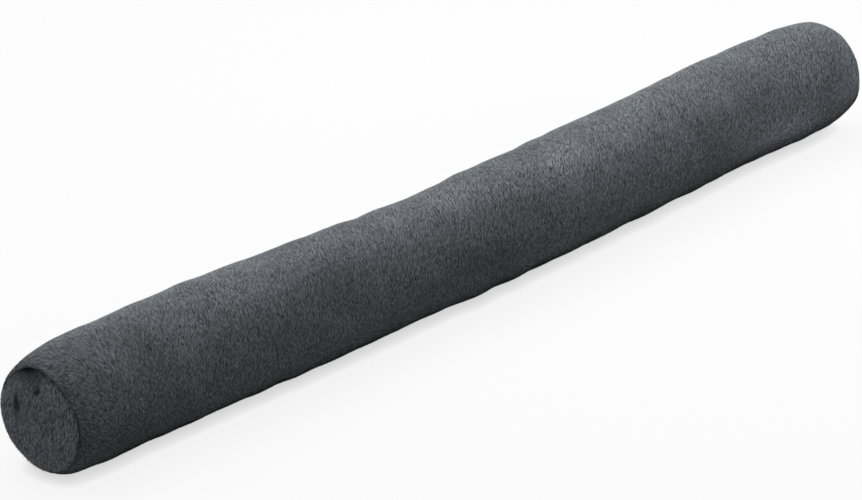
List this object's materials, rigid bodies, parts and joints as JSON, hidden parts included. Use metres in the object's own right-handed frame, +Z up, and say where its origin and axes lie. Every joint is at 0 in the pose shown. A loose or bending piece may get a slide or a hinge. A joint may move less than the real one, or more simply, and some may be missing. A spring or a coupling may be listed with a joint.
{
  "type": "draught excluder",
  "caption": "Long round stuffed draught excluder in short-pile plush, with a round panel sewn into each end, that lies along the foot of a door.",
  "frame": {"origin": "middle of the box that holds the whole part, on the surface that it lies on", "axes": "+X along the tube towards its far end, +Z up"},
  "size_m": [0.9006, 0.1046, 0.0948],
  "materials": {
    "tube_plush": "matt short-pile plush, dark slate grey",
    "end_plush": "matt short-pile plush, dark slate grey"
  },
  "bodies": {
    "root": {"tube": "tube_plush", "end_panel_near": "end_plush", "end_panel_far": "end_plush"}
  },
  "joints": []
}
